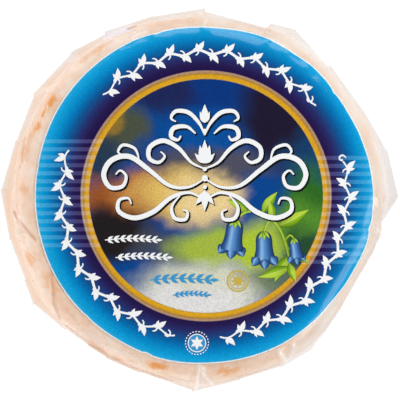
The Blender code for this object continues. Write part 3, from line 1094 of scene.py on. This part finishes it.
def flourish(lift, slip, fatter):
    """The centre's flourish, mirrored about its middle. Its shade is the same, slipped aside and fatter."""
    laid = []
    for hand in (1, -1):
        for thick, thin, *controls in FLOURISH:
            points = flowing([(hand * x + slip, y - slip) for x, y in controls], 7)
            laid.append(band(points, [w + fatter for w in swelling(len(points), thick, thin, 0.42)], lift))
        for x, y, bearing, length, width in (
            (0, 9.0, 68, 5.2, 1.9), (0, 9.0, 38, 3.9, 1.5), (0, 1.0, -62, 4.6, 1.6), (0, 20.5, 60, 3.4, 1.3),
        ):
            heading = bearing if hand > 0 else 180 - bearing
            laid.append(leaf(x + slip, y - slip, heading, length, width + fatter, lift, 0.12 * hand))
    for y, length, bearing in ((9.0, 6.6, 90), (1.4, 6.0, -90), (20.5, 5.2, 90)):
        laid.append(leaf(slip, y - slip, bearing, length, 2.0 + fatter, lift))
    for x, y, radius in ((0, 4.7, 0.9), (0, 7.3, 0.6), (0, 2.2, 0.6), (0, 18.2, 0.6)):
        laid.append(dot(x + slip, y - slip, radius + fatter / 2, lift))
    return laid


BELLS = (
    # Foot of the flower's cup, the way it hangs in degrees, and its length in millimetres
    (8.9, -7.0, 262, 9.0),
    (16.8, -10.4, 272, 8.6),
    (25.3, -12.4, 279, 6.0),
)


def bell(x, y, bearing, length, lift):
    """A hanging bell flower: its cup, which flares at the mouth into three points."""
    turn = math.radians(bearing)
    points = [(x + math.cos(turn) * length * s / 12, y + math.sin(turn) * length * s / 12) for s in range(13)]
    shape = (0.22, 0.52, 0.66, 0.72, 0.74, 0.74, 0.75, 0.77, 0.80, 0.85, 0.92, 0.98, 0.94)
    laid = [band(points, [share * length * 0.74 for share in shape], lift)]
    for side in (-1, 0, 1):
        start = 0.84 if side else 0.9
        foot = points[round(start * 12)]
        off = side * length * 0.22
        fx, fy = foot[0] - math.sin(turn) * off, foot[1] + math.cos(turn) * off
        laid.append(leaf(fx, fy, bearing + 26 * side, length * 0.36, length * 0.34, lift + 0.01, 0.1 * side))
    return laid


def make_print():
    """Lay the ornaments, each ink as one piece."""
    random.seed(11)
    white, shade, blade, petal, gilt, azure = [], [], [], [], [], []
    for start, end in ((135.5, 38.7), (161.8, 258.0), (-83.9, 13.5)):
        white += vine(start, end, 0.05)
    ex, ey = from_centre(-93, 42.3)
    azure.append(dot(ex, ey, 2.35, 0.04))
    white.append(hoop(ex, ey, 2.5, 0.28, 0.06))
    for turn in range(0, 360, 60):
        white.append(leaf(ex, ey, turn + 30, 1.9, 0.95, 0.07))
    for turn in range(0, 360, 15):
        tick = math.radians(turn)
        cx, cy = ex + 3.25 * math.cos(tick), ey + 3.25 * math.sin(tick)
        white.append(leaf(cx, cy, turn + 90, 0.55, 0.34, 0.06))
    white += flourish(0.11, 0.0, 0.0)
    shade += flourish(0.09, 0.36, 0.22)
    for row, start in ((-12.9, -28.4), (-17.9, -25.4)):
        white += sprig(start, row, 14.5, 1.9, 0.72, 0.06)
    for row, start, length in ((-24.3, -15.5, 17.0), (-28.6, -9.0, 9.5)):
        azure += sprig(start, row, length, 2.6 if row > -26 else 1.5, 0.95 if row > -26 else 0.6, 0.06)
    gilt += [hoop(9.4, -24.6, 2.9, 0.42, 0.06), hoop(9.4, -24.6, 2.2, 0.2, 0.06)]
    for turn in range(0, 360, 45):
        gilt.append(leaf(9.4, -24.6, turn, 1.9, 0.7, 0.06))
    stems = (
        (0.8, (24.2, -21.3), (23.6, -15.5), (21.0, -9.0), (16.5, -5.2), (12.0, -4.8), (8.9, -7.0)),
        (0.6, (19.2, -7.0), (17.9, -8.0), (16.9, -10.4)),
        (0.5, (22.9, -13.0), (24.3, -11.6), (25.3, -12.4)),
    )
    for width, *controls in stems:
        points = flowing(controls)
        blade.append(band(points, [width] * len(points), 0.04))
    for x, y, bearing, length, width, bend in (
        (21.0, -9.0, 22, 9.8, 3.4, 0.12), (24.0, -17.5, 232, 8.2, 3.2, 0.15),
        (16.5, -5.2, 62, 7.2, 2.8, -0.12), (12.4, -4.8, 142, 6.8, 2.6, 0.15),
        (23.6, -15.0, -42, 7.4, 2.8, 0.1), (24.2, -20.5, 205, 9.4, 3.0, -0.12),
        (19.5, -7.2, 95, 5.6, 2.3, 0.1), (24.0, -19.5, -75, 5.6, 2.4, 0.1),
    ):
        blade.append(leaf(x, y, bearing, length, width, 0.05, bend))
    for x, y, bearing, length in BELLS:
        petal += bell(x, y, bearing, length, 0.06)
        for side in (-38, 0, 38):
            blade.append(leaf(x, y, bearing + side, length * 0.3, length * 0.12, 0.085))
    for name, laid, ink in (
        ("white_print", white, plain_ink("opaque_white_ink", "#F4F5F6")),
        ("shade_print", shade, plain_ink("key_black_ink", "#0B0D12")),
        ("leaf_print", blade, shaded_ink("leaf_green_inks", LEAF_TONES, "#2F5A16", 0.5, 0.55)),
        ("bell_print", petal, shaded_ink("flower_blue_inks", BELL_TONES, "#16264A", 0.35, 0.6)),
        ("gold_print", gilt, plain_ink("ochre_ink", "#C8B04A")),
        ("azure_print", azure, plain_ink("process_azure_ink", "#3B97CC")),
    ):
        bpy.ops.object.select_all(action="DESELECT")
        for piece in laid:
            piece.select_set(True)
        bpy.context.view_layer.objects.active = laid[0]
        bpy.ops.object.join()
        piece = start_piece(name)
        bpy.ops.object.transform_apply(location=True, rotation=True, scale=True)
        thickness = piece.modifiers.new("ink", "SOLIDIFY")
        thickness.thickness = INK * MM
        thickness.offset = -1.0
        bpy.ops.object.modifier_apply(modifier="ink")
        piece.data.materials.append(ink)
        rest_on_wheel(piece, "label_paper")


def plain_ink(name, colour):
    """A flat spot of offset ink under the varnish."""
    material, tree, shader = new_material(name)
    feed(tree, shader, {
        "Base Color": from_hex(colour), "Roughness": INK_ROUGHNESS, "Specular IOR Level": PRINT_GLOSS,
    })
    return material


LEAF_TONES = (
    # Leaf greens across a blade: lit lime on one side of the midrib, deeper on the other
    (0.0, "#4E7E14"), (0.2, "#7CA61C"), (0.46, "#9CC428"), (0.5, "#DDE68C"), (0.55, "#B6D43C"),
    (0.85, "#BAD444"), (1.0, "#86AE24"),
)
BELL_TONES = (
    # Flower blues across a cup: a pale sheen to one side, dusk at its edges
    (0.0, "#1A2F54"), (0.18, "#3463A2"), (0.36, "#8DB9E4"), (0.5, "#5A92CC"), (0.75, "#325E9A"),
    (1.0, "#1A2A4C"),
)


def shaded_ink(name, tones, deep, reach, share):
    """Inks in tones across a blade or petal, with a share of a deep one that fades out from its foot."""
    material, tree, shader = new_material(name)
    across, along = (
        node(tree, "Attribute", {}, gives="Fac", attribute_name=way) for way in ("across", "along")
    )
    place = node(tree, "MapRange", {"Value": across, "From Min": -1.0, "From Max": 1.0})
    tone = node(tree, "ValToRGB", {"Fac": place}, stops=tones)
    foot = node(tree, "MapRange", {"Value": along, "From Max": reach, "To Min": share, "To Max": 0.0})
    toned = node(tree, "Mix", {"Factor": foot, "A": tone, "B": from_hex(deep)}, data_type="RGBA")
    feed(tree, shader, {"Base Color": toned, "Roughness": INK_ROUGHNESS, "Specular IOR Level": PRINT_GLOSS})
    return material


# The floor, lights and camera

# In metres: the lens's height, what the frame spans at the film's widest level, and the floor's width
CAMERA_HEIGHT = 1.169
FRAME_WIDTH = 0.116
FLOOR_WIDTH = 3.0
SOFTBOXES = (
    # name, bearing, elevation, distance, width, height, power in watts
    ("back", 80, 42, 0.75, 0.58, 0.50, 4.0),
    ("right", -32, 45, 0.75, 0.50, 0.40, 3.1),
    ("left_low", 185, 10, 0.75, 0.50, 0.22, 3.1),
    ("front_low", 258, 10, 0.75, 0.50, 0.22, 1.6),
)


def make_studio():
    """The white ground, which glows a little so that no shadow greys it, four softboxes and the camera."""
    bpy.ops.mesh.primitive_plane_add(size=FLOOR_WIDTH, location=(0, 0, 0))
    floor = start_piece("studio_floor")
    material, tree, shader = new_material("white_sweep")
    feed(tree, shader, {
        "Base Color": from_hex("#8C8C8C"), "Roughness": 0.9,
        "Emission Color": from_hex("#FFFFFF"), "Emission Strength": 0.82,
    })
    floor.data.materials.append(material)
    for name, bearing, elevation, distance, width, height, power in SOFTBOXES:
        turn, rise = math.radians(bearing), math.radians(elevation)
        level = math.cos(rise)
        place = Vector((math.cos(turn) * level, math.sin(turn) * level, math.sin(rise))) * distance
        bpy.ops.object.light_add(type="AREA", location=place)
        lamp = bpy.context.object
        lamp.name = "softbox_" + name
        lamp.rotation_euler = place.to_track_quat("Z", "Y").to_euler()
        lamp.data.energy = power
        lamp.data.shape = "RECTANGLE"
        lamp.data.size = width
        lamp.data.size_y = height
    world = bpy.data.worlds.new("studio")
    bpy.context.scene.world = world
    world.use_nodes = True
    sky = world.node_tree.nodes["Background"]
    feed(world.node_tree, sky, {"Color": from_hex("#FFFFFF"), "Strength": 0.12})
    bpy.ops.object.camera_add(location=(0, 0, CAMERA_HEIGHT), rotation=(0, 0, 0))
    camera = bpy.context.object
    camera.data.lens = camera.data.sensor_width * (CAMERA_HEIGHT - WIDEST_LEVEL * MM) / FRAME_WIDTH
    camera.data.clip_start = 0.1
    camera.data.clip_end = 10.0
    bpy.context.scene.camera = camera
    bpy.context.scene.view_settings.view_transform = "Standard"


bpy.ops.object.select_all(action="DESELECT")
make_film()
make_cheese()
make_label()
make_print()
make_studio()

bpy.context.view_layer.update()
